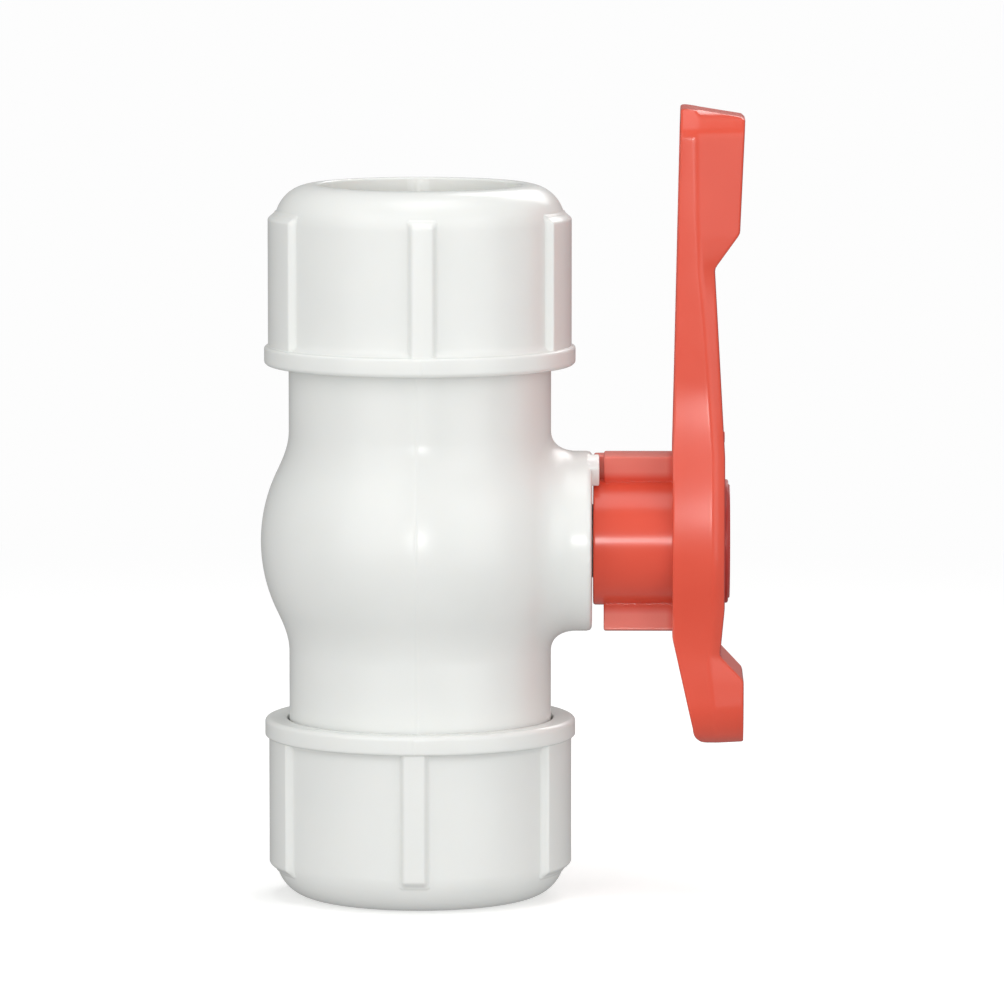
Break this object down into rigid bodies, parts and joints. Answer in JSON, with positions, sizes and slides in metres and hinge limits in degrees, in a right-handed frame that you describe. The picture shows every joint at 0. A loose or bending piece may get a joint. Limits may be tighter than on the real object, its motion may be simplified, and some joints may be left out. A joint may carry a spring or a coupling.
{
  "type": "ball valve",
  "caption": "Straight two-way plastic ball valve with a lever and a compression nut for plastic pipe at each end.",
  "frame": {"origin": "on the flow axis, at the mouth of the lower nut", "axes": "+Z along the flow axis towards the upper nut, +X along the stem towards the lever; the lever's long arm points to +Z when the valve is open"},
  "size_m": [0.0778, 0.0514, 0.1275],
  "materials": {
    "white_polypropylene": "moulded, glossy",
    "red_plastic": "moulded, glossy",
    "deep_red_plastic": "moulded, satin",
    "ball_plastic": "turned and polished",
    "ptfe": "turned",
    "acetal": "moulded",
    "black_rubber": "moulded",
    "steel": "rolled and plated"
  },
  "bodies": {
    "valve": {"valve_body": "white_polypropylene", "seat_carrier": "white_polypropylene", "carrier_ring": "black_rubber", "upper_seat": "ptfe", "lower_seat": "ptfe", "upper_seat_cushion": "black_rubber", "lower_seat_cushion": "black_rubber", "stem_washer": "ptfe", "upper_thrust_ring": "white_polypropylene", "lower_thrust_ring": "white_polypropylene", "upper_pipe_seal": "black_rubber", "lower_pipe_seal": "black_rubber"},
    "lever": {"lever": "red_plastic", "lever_cap": "deep_red_plastic", "lever_screw": "steel", "screw_washer": "steel", "stem": "white_polypropylene", "stem_rings": "black_rubber"},
    "ball": {"ball": "ball_plastic"},
    "upper_grip": {"upper_grip_ring": "acetal"},
    "upper_nut": {"upper_nut": "white_polypropylene"},
    "lower_grip": {"lower_grip_ring": "acetal"},
    "lower_nut": {"lower_nut": "white_polypropylene"}
  },
  "joints": [
    {"name": "lever_turn", "type": "hinge", "parent": "valve", "child": "lever", "pos_m": [0, 0, 0.0575], "axis": [-1, 0, 0], "range_deg": [0, 90]},
    {"name": "ball_turn", "type": "hinge", "parent": "valve", "child": "ball", "pos_m": [0, 0, 0.0575], "axis": [-1, 0, 0], "range_deg": [0, 90]},
    {"name": "upper_nut_travel", "type": "slide", "parent": "valve", "child": "upper_grip", "axis": [0, 0, 1], "range_m": [0, 0.009]},
    {"name": "upper_nut_turn", "type": "hinge", "parent": "upper_grip", "child": "upper_nut", "pos_m": [0, 0, 0.115], "axis": [0, 0, 1], "range_deg": [0, 1080]},
    {"name": "lower_nut_travel", "type": "slide", "parent": "valve", "child": "lower_grip", "axis": [0, 0, -1], "range_m": [0, 0.009]},
    {"name": "lower_nut_turn", "type": "hinge", "parent": "lower_grip", "child": "lower_nut", "pos_m": [0, 0, 0], "axis": [0, 0, -1], "range_deg": [0, 1080]}
  ],
  "couplings": [
    {"joint": "ball_turn", "follows": "lever_turn", "ratio": 1},
    {"joint": "upper_nut_turn", "follows": "upper_nut_travel", "rad_per_m": 2094.4},
    {"joint": "lower_nut_turn", "follows": "lower_nut_travel", "rad_per_m": 2094.4}
  ]
}
